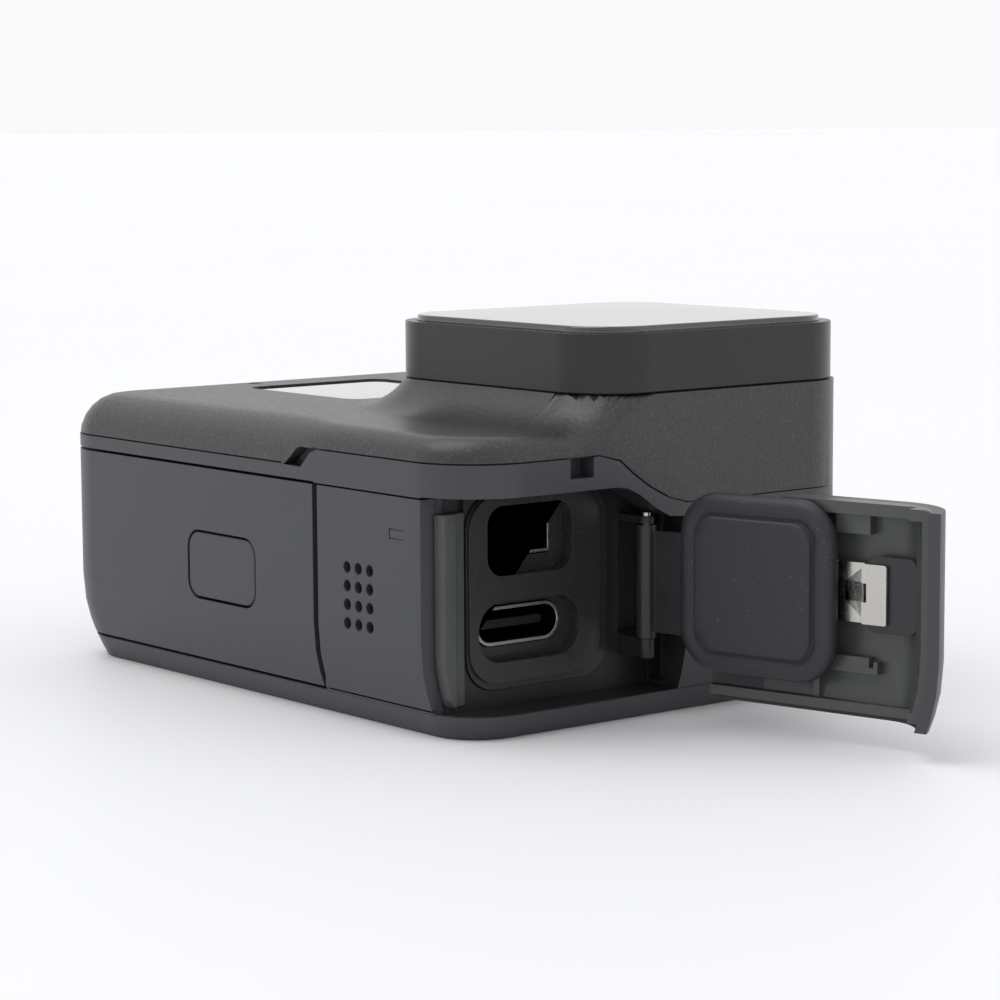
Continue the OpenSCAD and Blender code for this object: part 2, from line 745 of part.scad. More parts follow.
module battery_door_shell() {
  color([0.3, 0.3, 0.32]) difference() {
    intersection() {
      rear_form(20);
      battery_door_region();
    }
    // inside of the skin
    linear_extrude(30) difference() {
      plan(skin + 0.4);
      translate([battery_hinge_x, battery_hinge_y]) circle(nose_r, $fn = 32);
    }
    // knuckle seats and the hinge bore
    translate([battery_hinge_x, battery_hinge_y, 0]) cylinder(r = pin_r + 0.06, h = 30, $fn = 32);
    for (z = [door_low - 1, 16.5]) translate([battery_hinge_x, battery_hinge_y, z])
      cylinder(r = nose_r + 0.1, h = 4.2, $fn = 32);
    // latch button's seat
    face_plate(-half_h - 1, -half_h + 2, -3.2, 11, 10.7, 6.2, 1.7);
  }
}

module battery_door_seal() {
  color([0.12, 0.12, 0.13]) difference() {
    face_plate(-half_h + skin + 0.4, -20.5, -9, 10.9, 30, 13.4, 2);
    face_plate(-half_h, -20, -9, 10.9, 28, 11.4, 1.4);
  }
}

module battery_hinge_pin() {
  color([0.8, 0.8, 0.8]) {
    translate([battery_hinge_x, battery_hinge_y, 3]) cylinder(r = pin_r, h = 15.5, $fn = 32);
    for (z = [door_low + 0.1, 16.6]) {
      translate([battery_hinge_x, battery_hinge_y, z]) cylinder(r = 0.85, h = 3, $fn = 32);
      span([battery_hinge_x, battery_hinge_y - 0.4, z], [-28.98, battery_hinge_y + 0.6, z + 3]);
    }
  }
}

module battery_latch_button() {
  color([0.3, 0.3, 0.32]) face_plate(-half_h + 0.02, -half_h + 1.25, -3.2, 11, 10.3, 5.8, 1.5);
}

module battery_latch_spring() {
  color([0.7, 0.7, 0.7]) for (x = [-6, -0.4])
    face_plate(-half_h + 1.75, -half_h + 1.9, x, 11, 1.4, 3, 0.5);
}

module shutter_button() {
  color([0.3, 0.3, 0.32]) translate([shutter_x, half_h - 2, button_z]) rotate([-90, 0, 0])
    cylinder(r = 4.3, h = 2.2, $fn = 48);
}

module shutter_ring() {
  color([0.75, 0.2, 0.15]) translate([shutter_x, half_h - 2.4, button_z]) rotate([-90, 0, 0]) difference() {
    cylinder(r = 5.25, h = 2.2, $fn = 48);
    translate([0, 0, -1]) cylinder(r = 4.45, h = 5, $fn = 48);
  }
}

module shutter_spring() {
  color([0.7, 0.7, 0.7]) translate([shutter_x, half_h - 3.4, button_z]) rotate([-90, 0, 0]) difference() {
    cylinder(r = 2, h = 0.9, $fn = 32);
    translate([0, 0, -1]) cylinder(r = 1.5, h = 3, $fn = 32);
  }
}

module mode_button() {
  color([0.3, 0.3, 0.32]) side_plate(-half_w - 0.1, -29.2, mode_y, button_z, 8, 4, 1.95);
}

module mode_spring() {
  color([0.7, 0.7, 0.7]) side_plate(-28.7, -28, mode_y, button_z, 3, 1.6, 0.7);
}

module status_lamps() {
  color([0.9, 0.3, 0.2])
    translate([lamp_x, lamp_y, front_z - 0.9]) cylinder(r = 0.6, h = 0.85, $fn = 24);
}

module microphone_mesh() {
  color([0.1, 0.1, 0.1]) for (x = [2, 5])
    translate([x, half_h - 1.2, 14]) rotate([-90, 0, 0]) cylinder(r = 0.58, h = 0.4, $fn = 24);
}

module housing_screws() {
  color([0.6, 0.6, 0.6]) for (x = [-24, 4.5], y = [-15, 14.5]) {
    translate([x, y, 19.82]) cylinder(r = 0.7, h = 0.9, $fn = 24);
    translate([x, y, 20.72]) cylinder(r = 1.3, h = 0.5, $fn = 24);
  }
}

rear_bezel();
rear_display_glass();
rear_display_panel();
main_housing();
front_shell();
speaker_panel();
speaker_driver();
speaker_mesh();
lens_housing();
lens_cover_glass();
lens_gasket();
lens_barrel();
lens_front_element();
lens_rear_element();
sensor_board();
front_display_glass();
front_display_panel();
main_board();
heat_spreader();
battery();
battery_pull_tab();
battery_contacts();
memory_card();
memory_card_slot();
port_plate();
port_board();
data_port_shell();
data_port_tongue();
video_port_shell();
video_port_contacts();
bay_corner_post();
side_hinge_pin();
side_hinge_arm();
seal_carriage();
seal_pad();
side_door_shell();
side_door_carrier();
latch_slider();
latch_plate();
battery_door_shell();
battery_door_seal();
battery_hinge_pin();
battery_latch_button();
battery_latch_spring();
shutter_button();
shutter_ring();
shutter_spring();
mode_button();
mode_spring();
status_lamps();
microphone_mesh();
housing_screws();
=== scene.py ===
"""Action camera lying on its rear display, with its port door open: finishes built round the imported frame."""

import json
import logging
import math
from dataclasses import dataclass
from enum import Enum
from typing import Sequence, Union

import bmesh
import bpy
from mathutils import Matrix, Vector

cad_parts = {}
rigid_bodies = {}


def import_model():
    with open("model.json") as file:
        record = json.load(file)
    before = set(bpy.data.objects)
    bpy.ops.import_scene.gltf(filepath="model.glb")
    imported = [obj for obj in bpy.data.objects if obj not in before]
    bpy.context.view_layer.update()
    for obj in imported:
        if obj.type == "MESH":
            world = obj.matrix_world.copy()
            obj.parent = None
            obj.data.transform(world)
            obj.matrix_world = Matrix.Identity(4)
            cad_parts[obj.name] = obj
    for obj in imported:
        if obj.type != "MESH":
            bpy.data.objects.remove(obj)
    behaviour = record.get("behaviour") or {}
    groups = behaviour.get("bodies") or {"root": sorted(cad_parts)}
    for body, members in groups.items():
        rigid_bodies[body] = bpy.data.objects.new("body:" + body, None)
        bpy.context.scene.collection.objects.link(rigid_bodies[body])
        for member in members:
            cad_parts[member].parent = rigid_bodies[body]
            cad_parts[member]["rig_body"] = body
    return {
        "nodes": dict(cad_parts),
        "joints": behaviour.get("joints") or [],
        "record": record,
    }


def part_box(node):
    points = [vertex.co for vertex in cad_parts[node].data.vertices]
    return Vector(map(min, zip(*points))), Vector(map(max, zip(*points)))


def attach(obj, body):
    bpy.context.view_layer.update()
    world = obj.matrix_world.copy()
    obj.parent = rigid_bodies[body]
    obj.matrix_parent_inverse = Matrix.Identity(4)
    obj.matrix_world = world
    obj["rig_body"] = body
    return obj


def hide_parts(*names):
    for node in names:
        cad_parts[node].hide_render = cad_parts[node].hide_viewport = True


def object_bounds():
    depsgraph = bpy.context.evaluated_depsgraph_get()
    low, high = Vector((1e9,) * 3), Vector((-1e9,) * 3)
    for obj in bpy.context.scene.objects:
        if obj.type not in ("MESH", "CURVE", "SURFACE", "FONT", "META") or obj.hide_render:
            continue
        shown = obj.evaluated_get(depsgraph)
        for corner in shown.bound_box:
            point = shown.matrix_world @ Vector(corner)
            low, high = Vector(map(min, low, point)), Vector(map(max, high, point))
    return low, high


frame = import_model()

MM = 0.001
LOG = logging.getLogger("action_camera")
Colour = tuple[float, float, float]
Outline = Sequence[Vector]
CAD_BOX = [list(corner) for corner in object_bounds()]
MERGE = 0.0005 * MM
FLAT = math.radians(0.6)


# ------------------------------------------------------------------ shader maths


class Maths(Enum):
    """The maths operations that patterns and the room's light are made of."""

    ADD = "ADD"
    SUBTRACT = "SUBTRACT"
    MULTIPLY = "MULTIPLY"
    POWER = "POWER"
    GREATER = "GREATER_THAN"
    LESS = "LESS_THAN"
    FRACTION = "FRACT"
    ABSOLUTE = "ABSOLUTE"


class Wave:
    """A number that changes over the surface: a socket with Python's arithmetic on it."""

    def __init__(self, graph: "Graph", socket: bpy.types.NodeSocket) -> None:
        """Wraps a socket of one graph."""
        self.graph = graph
        self.socket = socket

    def _with(self, kind: Maths, first: "Value", second: "Value" = 0.0) -> "Wave":
        """Adds one Math node and gives its result."""
        return self.graph.node("ShaderNodeMath", {"operation": kind.value}, {0: first, 1: second})

    def __add__(self, other: "Value") -> "Wave":
        """self + other."""
        return self._with(Maths.ADD, self, other)

    def __radd__(self, other: float) -> "Wave":
        """other + self."""
        return self._with(Maths.ADD, other, self)

    def __sub__(self, other: "Value") -> "Wave":
        """self - other."""
        return self._with(Maths.SUBTRACT, self, other)

    def __rsub__(self, other: float) -> "Wave":
        """other - self."""
        return self._with(Maths.SUBTRACT, other, self)

    def __mul__(self, other: "Value") -> "Wave":
        """self * other."""
        return self._with(Maths.MULTIPLY, self, other)

    def __rmul__(self, other: float) -> "Wave":
        """other * self."""
        return self._with(Maths.MULTIPLY, other, self)

    def __gt__(self, other: "Value") -> "Wave":
        """1 where self is more than other."""
        return self._with(Maths.GREATER, self, other)

    def __lt__(self, other: "Value") -> "Wave":
        """1 where self is less than other."""
        return self._with(Maths.LESS, self, other)

    def fraction(self) -> "Wave":
        """What is left of self after its whole number."""
        return self._with(Maths.FRACTION, self)


Value = Union[Wave, float]


class Graph:
    """The node tree of one material, with short ways to add to it."""

    def __init__(self, name: str) -> None:
        """Makes an empty material of that name."""
        self.material = bpy.data.materials.new(name)
        self.material.use_nodes = True
        self.tree = self.material.node_tree
        self.tree.nodes.clear()
        self.place = self.node("ShaderNodeTexCoord", {}, {}, "Object")

    def node(
        self,
        kind: str,
        settings: dict[str, object],
        inputs: dict[Union[int, str], object],
        output: Union[int, str] = 0,
    ) -> Wave:
        """Adds any node.

        Args:
            kind: The node's type.
            settings: Its own settings, which are set first.
            inputs: Socket to value, or to the Wave that feeds it.
            output: The socket that is given back.

        Returns:
            The chosen output.
        """
        made = self.tree.nodes.new(kind)
        for key, value in settings.items():
            setattr(made, key, value)
        for key, value in inputs.items():
            if isinstance(value, Wave):
                self.tree.links.new(value.socket, made.inputs[key])
            else:
                made.inputs[key].default_value = value
        return Wave(self, made.outputs[output])

    def noise(self, pitch: float, detail: float = 2.0, rough: float = 0.5) -> Wave:
        """Cloudy noise.

        Args:
            pitch: Size of its features, in metres.
            detail: Number of finer layers.
            rough: Strength of the finer layers.

        Returns:
            A number round 0.5.
        """
        settings = {"Vector": self.place, "Scale": 1.0 / pitch, "Detail": detail, "Roughness": rough}
        return self.node("ShaderNodeTexNoise", {}, settings)

    def cells(self, pitch: float) -> Wave:
        """Distance to the nearest of many scattered points, which are that pitch apart."""
        return self.node("ShaderNodeTexVoronoi", {}, {"Vector": self.place, "Scale": 1.0 / pitch})

    def axis(self, name: str) -> Wave:
        """One coordinate of the surface, in metres."""
        return self.node("ShaderNodeSeparateXYZ", {}, {0: self.place}, name)

    def blend(self, amount: Value, first: Union[Colour, Wave], second: Union[Colour, Wave]) -> Wave:
        """A colour between two others.

        Args:
            amount: 0 for the first, 1 for the second.
            first: A colour.
            second: A colour.

        Returns:
            The mixed colour.
        """
        ends = [c if isinstance(c, Wave) else (*c, 1.0) for c in (first, second)]
        return self.node("ShaderNodeMix", {"data_type": "RGBA"}, {0: amount, 6: ends[0], 7: ends[1]}, 2)

    def bump(self, height: Wave, depth: float, strength: float = 1.0) -> Wave:
        """A surface normal that follows a height.

        Args:
            height: The height, from 0 to 1.
            depth: What a height of 1 stands for, in metres.
            strength: How much of it shows.

        Returns:
            The normal.
        """
        inputs = {"Height": height, "Distance": depth, "Strength": strength}
        return self.node("ShaderNodeBump", {}, inputs)

    def finish(self, **sockets: object) -> bpy.types.Material:
        """Adds the shader and gives the material.

        Args:
            **sockets: Values or Waves for the shader, with _ for a blank in a socket's name.

        Returns:
            The finished material.
        """
        inputs = {}
        for key, value in sockets.items():
            flat = isinstance(value, tuple) and len(value) == 3
            inputs[key.replace("_", " ")] = (*value, 1.0) if flat else value
        shader = self.node("ShaderNodeBsdfPrincipled", {}, inputs)
        out = self.tree.nodes.new("ShaderNodeOutputMaterial")
        self.tree.links.new(shader.socket, out.inputs["Surface"])
        return self.material


# ------------------------------------------------------------------ finishes


def shade(colour: Colour, factor: float) -> Colour:
    """A colour made lighter or darker by a factor."""
    return tuple(min(channel * factor, 1.0) for channel in colour)


@dataclass(frozen=True)
class Moulded:
    """Injection-moulded plastic: spark-eroded texture, faint flow clouds and small rub marks."""

    name: str
    colour: Colour
    roughness: float = 0.5
    grain: float = 0.16 * MM
    depth: float = 0.006 * MM
    clouds: float = 0.1
    rubs: float = 0.06
    specular: float = 0.5

    def material(self) -> bpy.types.Material:
        """Builds the material.

        Returns:
            The material.
        """
        g = Graph(self.name)
        flow = g.noise(9 * MM, 3)
        grain = g.noise(self.grain, 2, 0.6)
        rub = g.noise(1.7 * MM, 4, 0.6)
        worn = rub * self.rubs
        tone = flow * 0.7 + grain * 0.3
        colour = g.blend(tone, shade(self.colour, 1 - self.clouds), shade(self.colour, 1 + self.clouds))
        return g.finish(
            Base_Color=colour,
            Roughness=self.roughness - worn + (flow - 0.5) * 0.12 + (grain - 0.5) * 0.1,
            Specular_IOR_Level=self.specular,
            Normal=g.bump(grain, self.depth, 0.6),
        )


@dataclass(frozen=True)
class SoftTouch:
    """Rubbery paint over plastic: a coarse leathery grain with pale speckles."""

    name: str
    colour: Colour
    roughness: float = 0.55
    grain: float = 0.5 * MM
    depth: float = 0.045 * MM

    def material(self) -> bpy.types.Material:
        """Builds the material.

        Returns:
            The material.
        """
        g = Graph(self.name)
        grain = g.noise(self.grain, 4, 0.72)
        pits = g.cells(self.grain * 0.8)
        cloud = g.noise(7 * MM, 2)
        speck = g.noise(self.grain * 0.6, 3, 0.8)
        height = grain * 0.7 + pits * 0.3
        base = g.blend(cloud, shade(self.colour, 0.85), shade(self.colour, 1.15))
        speckled = g.blend((speck > 0.57) * 0.5, base, shade(self.colour, 2.4))
        return g.finish(
            Base_Color=speckled,
            Roughness=self.roughness + (grain - 0.5) * 0.25,
            Specular_IOR_Level=0.5,
            Normal=g.bump(height, self.depth, 0.8),
        )


@dataclass(frozen=True)
class Rubber:
    """Silicone rubber: matt, with a fine bloom and specks of dust."""

    name: str
    colour: Colour
    roughness: float = 0.62
    dust: float = 0.1

    def material(self) -> bpy.types.Material:
        """Builds the material.

        Returns:
            The material.
        """
        g = Graph(self.name)
        bloom = g.noise(4.5 * MM, 4, 0.6)
        fine = g.noise(0.2 * MM, 3, 0.7)
        specks = (g.cells(0.85 * MM) < 0.075) * self.dust
        base = g.blend(bloom, shade(self.colour, 0.86), shade(self.colour, 1.16))
        return g.finish(
            Base_Color=g.blend(specks, base, (0.45, 0.45, 0.45)),
            Roughness=self.roughness + (bloom - 0.5) * 0.2,
            Specular_IOR_Level=0.42,
            Normal=g.bump(fine, 0.007 * MM, 0.5),
        )


class Lay(Enum):
    """The direction that a metal's polishing lines run in."""

    ALONG_X = (0.06, 1.0, 1.0)
    ALONG_Y = (1.0, 0.06, 1.0)
    ALONG_Z = (1.0, 1.0, 0.06)


@dataclass(frozen=True)
class Metal:
    """Stamped or turned metal with fine polishing lines and dull patches."""

    name: str
    colour: Colour
    roughness: float = 0.25
    lay: Lay = Lay.ALONG_Z
    tarnish: float = 0.12

    def material(self) -> bpy.types.Material:
        """Builds the material.

        Returns:
            The material.
        """
        g = Graph(self.name)
        mapping = {"vector_type": "POINT"}
        drawn = g.node("ShaderNodeMapping", mapping, {"Vector": g.place, "Scale": self.lay.value})
        fine = {"Vector": drawn, "Scale": 1 / (0.09 * MM), "Detail": 2.0}
        lines = g.node("ShaderNodeTexNoise", {}, fine)
        stain = g.noise(1.6 * MM, 4, 0.6)
        colour = g.blend(stain, shade(self.colour, 1 - self.tarnish), self.colour)
        return g.finish(
            Base_Color=g.blend((lines - 0.5) * 0.6 + 0.3, colour, shade(self.colour, 0.8)),
            Metallic=1.0,
            Roughness=self.roughness + (stain - 0.5) * 0.2 + (lines - 0.5) * 0.15,
            Normal=g.bump(lines, 0.004 * MM, 0.5),
        )


@dataclass(frozen=True)
class Glazing:
    """Dark cover glass with a hard coating and faint finger smudges."""

    name: str
    colour: Colour
    roughness: float = 0.03
    smudge: float = 0.05
    alpha: float = 1.0

    def material(self) -> bpy.types.Material:
        """Builds the material.

        Returns:
            The material.
        """
        g = Graph(self.name)
        wipe = g.noise(6 * MM, 5, 0.65)
        prints = g.noise(0.9 * MM, 3, 0.7)
        film = wipe * prints
        return g.finish(
            Base_Color=g.blend(film, self.colour, shade(self.colour, 1.6)),
            Roughness=self.roughness + film * self.smudge * 2,
            IOR=1.52,
            Specular_IOR_Level=0.65,
            Coat_Weight=1.0 - film * 0.4,
            Coat_Roughness=0.02,
            Coat_IOR=1.6,
            Alpha=self.alpha,
        )


@dataclass(frozen=True)
class ClearGlass:
    """Optical glass with a coloured anti-reflection coating."""

    name: str
    tint: Colour
    alpha: float = 0.3

    def material(self) -> bpy.types.Material:
        """Builds the material.

        Returns:
            The material.
        """
        g = Graph(self.name)
        rim = g.noise(5 * MM, 2)
        return g.finish(
            Base_Color=g.blend(rim, self.tint, shade(self.tint, 1.3)),
            Roughness=rim * 0.03 + 0.01,
            IOR=1.6,
            Coat_Weight=1.0,
            Coat_Roughness=0.02,
            Alpha=self.alpha + rim * 0.06,
        )


@dataclass(frozen=True)
class CircuitBoard:
    """Solder mask with routed tracks and plated dots."""

    name: str

    def material(self) -> bpy.types.Material:
        """Builds the material.

        Returns:
            The material.
        """
        g = Graph(self.name)
        bend = g.noise(3.5 * MM, 1)
        along = (g.axis("X") * (1 / (0.9 * MM)) + bend * 3.0).fraction()
        across = (g.axis("Y") * (1 / (1.3 * MM)) + bend * 2.0).fraction()
        tracks = (along < 0.35) * 0.6 + (across < 0.2) * 0.4
        pads = g.cells(1.4 * MM) < 0.16
        mask = g.blend(tracks, (0.008, 0.05, 0.028), (0.02, 0.11, 0.055))
        return g.finish(
            Base_Color=g.blend(pads, mask, (0.75, 0.6, 0.3)),
            Metallic=pads * 0.9,
            Roughness=0.35 - pads * 0.1,
            Normal=g.bump(tracks, 0.02 * MM, 0.6),
        )


@dataclass(frozen=True)
class WovenMesh:
    """Fine woven metal cloth over an opening."""

    name: str
    pitch: float = 0.22 * MM

    def material(self) -> bpy.types.Material:
        """Builds the material.

        Returns:
            The material.
        """
        g = Graph(self.name)
        per = 1 / self.pitch
        weave = (g.axis("X") * per).fraction() * (g.axis("Z") * per).fraction()
        return g.finish(
            Base_Color=g.blend(weave, (0.004, 0.004, 0.004), (0.06, 0.06, 0.06)),
            Metallic=0.6,
            Roughness=0.5 + weave * 0.2,
            Normal=g.bump(weave, 0.03 * MM, 0.8),
        )


@dataclass(frozen=True)
class Paper:
    """The battery's wrap or the clear pull tab: printed film with soft creases."""

    name: str
    colour: Colour
    roughness: float = 0.4

    def material(self) -> bpy.types.Material:
        """Builds the material.

        Returns:
            The material.
        """
        g = Graph(self.name)
        crease = g.noise(5 * MM, 3, 0.6)
        band = (g.axis("Y") * (1 / (12 * MM))).fraction() < 0.12
        base = g.blend(crease, shade(self.colour, 0.85), shade(self.colour, 1.15))
        return g.finish(
            Base_Color=g.blend(band * 0.6, base, shade(self.colour, 2.2)),
            Roughness=self.roughness + (crease - 0.5) * 0.2,
            Normal=g.bump(crease, 0.05 * MM, 0.4),
        )


HARD_SHELL = Moulded("hard_shell_texture", (0.042, 0.0437, 0.0495), 0.44)
DOOR_SKIN = Moulded("door_skin_texture", (0.042, 0.0437, 0.0495), 0.44)
SATIN_HOUSING = Moulded(
    "satin_lens_housing", (0.0075, 0.0078, 0.0095), 0.27, depth=0.002 * MM, clouds=0.05, rubs=0.02
)
SHELL_TOUCH = SoftTouch("soft_touch_coat", (0.032, 0.0325, 0.034), 0.34)
BAY_PLASTIC = Moulded("bay_plastic", (0.027, 0.0275, 0.029), 0.3, clouds=0.08, specular=0.4)
# painted shade: the housing's plastic darkened for the walls inside the port bay, where shade falls in the
# recess
BAY_PAINTED_SHADE = Moulded("bay_wall_plastic_painted_shade", (0.021, 0.0215, 0.0225), 0.36, clouds=0.16, specular=0.35)
INNER_PLASTIC = Moulded("door_inner_plastic", (0.062, 0.065, 0.064), 0.38, clouds=0.22, rubs=0.12)
SLIDER_PLASTIC = Moulded("latch_slider_plastic", (0.02, 0.021, 0.025), 0.42)
DARK_PLASTIC = Moulded("dark_plastic", (0.005, 0.005, 0.0055), 0.45, specular=0.35)
PAD_RUBBER = Rubber("seal_pad_rubber", (0.027, 0.0278, 0.035), 0.5, 0.16)
BLACK_RUBBER = Rubber("black_seal_rubber", (0.008, 0.008, 0.008), 0.6, 0.04)
RED_PLASTIC = Moulded("red_ring_plastic", (0.42, 0.018, 0.012), 0.25, depth=0.002 * MM)
LAMP = Moulded("lamp_window_plastic", (0.35, 0.03, 0.02), 0.15, depth=0.002 * MM)
DISPLAY_GLASS = Glazing("display_cover_glass", (0.004, 0.004, 0.005))
LENS_COVER = Glazing("lens_cover_glass_coat", (0.006, 0.0065, 0.008), 0.02, alpha=0.88)
DISPLAY_FILM = Glazing("display_panel_film", (0.006, 0.006, 0.01), 0.25)
LENS_GLASS = ClearGlass("coated_lens_glass", (0.1, 0.08, 0.2))
BRIGHT_NICKEL = Metal("bright_nickel_plate", (0.62, 0.6, 0.57), 0.24, tarnish=0.25)
RIM_STEEL = Metal("socket_rim_steel", (0.5, 0.49, 0.48), 0.3, Lay.ALONG_X)
# painted shade: the sockets' steel darkened nearly to black inside the openings, where shade falls
SOCKET_PAINTED_SHADE_STEEL = Metal("socket_inner_steel_painted_shade", (0.035, 0.034, 0.032), 0.45, Lay.ALONG_X)
PIN_STEEL = Metal("ground_pin_steel", (0.55, 0.55, 0.56), 0.22)
GOLD_CONTACT = Metal("gold_contact_plate", (0.6, 0.45, 0.22), 0.3, Lay.ALONG_X)
SHEET_METAL = Metal("sheet_aluminium", (0.75, 0.75, 0.77), 0.35, Lay.ALONG_Y)
BOARD = CircuitBoard("circuit_board_mask")
MESH_CLOTH = WovenMesh("woven_mesh")
BATTERY_WRAP = Paper("battery_wrap_film", (0.03, 0.03, 0.032))
PULL_TAB = Paper("pull_tab_film", (0.02, 0.07, 0.3), 0.25)

Finish = Union[Moulded, SoftTouch, Rubber, Metal, Glazing, ClearGlass, CircuitBoard, WovenMesh, Paper]


class Paintbox:
    """Makes each finish's material once."""

    def __init__(self) -> None:
        """Starts with no materials."""
        self.made: dict[str, bpy.types.Material] = {}

    def get(self, finish: Finish) -> bpy.types.Material:
        """Gives the material of a finish, which is made when it is first asked for.

        Args:
            finish: The finish.

        Returns:
            Its material.
        """
        if finish.name not in self.made:
            self.made[finish.name] = finish.material()
        return self.made[finish.name]


PAINTS = Paintbox()


# ------------------------------------------------------------------ meshes


def publish(piece: bpy.types.Object, *nodes: str) -> bpy.types.Object:
    """Lets a finished piece stand for one or more CAD nodes of one body.

    Args:
        piece: The piece.
        *nodes: The CAD nodes that it replaces.

    Returns:
        The same piece.
    """
    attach(piece, frame["nodes"][nodes[0]]["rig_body"])
    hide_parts(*nodes)
    subparts = frame["record"]["subparts"]
    next(part["material_slot"] for part in subparts if part["node"] == nodes[0])
    return piece


def as_object(name: str, shape: bmesh.types.BMesh, *finishes: Finish) -> bpy.types.Object:
    """Turns a bmesh into a smooth-shaded piece.

    Args:
        name: The piece's name.
        shape: Its mesh, which is freed.
        *finishes: What it is made of, in the order of its faces' material numbers.

    Returns:
        The piece's object, linked to the scene.
    """
    for face in shape.faces:
        face.smooth = True
    mesh = bpy.data.meshes.new(name)
    shape.to_mesh(mesh)
    shape.free()
    for finish in finishes:
        mesh.materials.append(PAINTS.get(finish))
    piece = bpy.data.objects.new(name, mesh)
    bpy.context.scene.collection.objects.link(piece)
    return piece


@dataclass(frozen=True)
class Zone:
    """A box of a node's surface that has another finish."""

    finish: Finish
    low: Vector
    high: Vector

    def holds(self, place: Vector) -> bool:
        """Whether a point lies in the box."""
        return all(a <= v <= b for a, v, b in zip(self.low, place, self.high))


@dataclass(frozen=True)
class EdgeRounding:
    """How the edges of a piece are softened."""

    width: float = 0.12 * MM
    segments: int = 2
    angle: float = 28.0
    flat_weight: int = 80

    def apply(self, piece: bpy.types.Object) -> None:
        """Adds the modifiers that round the edges and even out the shading.

        Args:
            piece: The piece.
        """
        rounding = piece.modifiers.new("edge_rounding", "BEVEL")
        rounding.width = self.width
        rounding.segments = self.segments
        rounding.limit_method = "ANGLE"
        rounding.angle_limit = math.radians(self.angle)
        rounding.use_clamp_overlap = True
        rounding.miter_outer = "MITER_ARC"
        weights = piece.modifiers.new("face_weights", "WEIGHTED_NORMAL")
        weights.keep_sharp = False
        weights.weight = self.flat_weight


class SubAssembly:
    """A group of pieces that are made and finished together."""

    title = "sub-assembly"

    def soften(
        self, node: str, finish: Finish, rounding: EdgeRounding, zone: Union[Zone, None] = None
    ) -> None:
        """Puts a copy of a CAD node, with softened edges, in the node's place.

        Args:
            node: The CAD node.
            finish: What it is made of.
            rounding: How its edges are softened.
            zone: A part of it with another finish.
        """
        shape = bmesh.new()
        shape.from_mesh(frame["nodes"][node].data)
        bmesh.ops.remove_doubles(shape, verts=shape.verts, dist=MERGE)
        bmesh.ops.dissolve_limit(shape, angle_limit=FLAT, verts=shape.verts, edges=shape.edges)
        for face in shape.faces:
            face.material_index = int(zone is not None and zone.holds(face.calc_center_median()))
        finishes = (finish, zone.finish) if zone else (finish,)
        piece = publish(as_object(node + "_finished", shape, *finishes), node)
        rounding.apply(piece)
        LOG.info("%s: %s, edges rounded", self.title, node)

    def keep(self, finishes: dict[str, Finish]) -> None:
        """Gives CAD nodes that keep their own mesh a finish.

        Args:
            finishes: Each node's name and its finish.
        """
        for node, finish in finishes.items():
            frame["nodes"][node].material_slots[0].material = PAINTS.get(finish)
            LOG.info("%s: %s, %s", self.title, node, finish.name)

    def build(self) -> None:
        """Makes every piece of the group."""
        raise NotImplementedError


class Loft:
    """A skin through a row of closed outlines that have the same number of points."""

    def __init__(self, name: str, outlines: Sequence[Outline]) -> None:
        """Draws each outline as a ring of edges and joins it to the one before it.

        Args:
            name: The skin's name.
            outlines: The outlines, in order.
        """
        self.name = name
        self.shape = bmesh.new()
        before: list[bmesh.types.BMEdge] = []
        for outline in outlines:
            made = bmesh.ops.create_circle(self.shape, cap_ends=False, segments=len(outline), radius=1.0)
            for vert, place in zip(made["verts"], outline):
                vert.co = place
            ring = list({edge for vert in made["verts"] for edge in vert.link_edges})
            if before:
                bmesh.ops.bridge_loops(self.shape, edges=before + ring)
            else:
                bmesh.ops.contextual_create(self.shape, geom=ring)
            before = ring
        bmesh.ops.contextual_create(self.shape, geom=before)
        bmesh.ops.recalc_face_normals(self.shape, faces=self.shape.faces)

    def piece(self, finish: Finish) -> bpy.types.Object:
        """The finished skin as an object."""
        return as_object(self.name, self.shape, finish)


@dataclass(frozen=True)
class CoilSpring:
    """A wound wire spring that fills the room of a CAD node."""

    node: str
    axis: int
    wire: float = 0.12 * MM
    turns: int = 3
    steps: int = 24

    def build(self) -> None:
        """Sweeps the wire's section round the axis while it moves along it."""
        low, high = (Vector(corner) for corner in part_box(self.node))
        size, middle = high - low, (low + high) / 2
        along = Vector((0, 0, 0))
        along[self.axis] = 1.0
        across = Vector((0, 0, 1)) if self.axis != 2 else Vector((1, 0, 0))
        radius = min(v for i, v in enumerate(size) if i != self.axis) / 2 - self.wire
        start = middle - along * (size[self.axis] / 2 - self.wire)
        shape = bmesh.new()
        made = bmesh.ops.create_circle(shape, cap_ends=True, segments=8, radius=self.wire)
        turn = along.cross(across).to_track_quat("Z", "Y").to_matrix().to_4x4()
        place = Matrix.Translation(start + across * radius) @ turn
        bmesh.ops.transform(shape, matrix=place, verts=made["verts"])
        count = self.steps * self.turns
        bmesh.ops.spin(
            shape,
            geom=shape.faces[:] + shape.edges[:] + shape.verts[:],
            cent=start,
            axis=along,
            dvec=along * ((size[self.axis] - 2 * self.wire) / count),
            angle=math.tau * self.turns,
            steps=count,
        )
        bmesh.ops.recalc_face_normals(shape, faces=shape.faces)
        publish(as_object(self.node + "_coil", shape, PIN_STEEL), self.node)
        LOG.info("spring: %s, %d turns", self.node, self.turns)


# ------------------------------------------------------------------ sub-assemblies


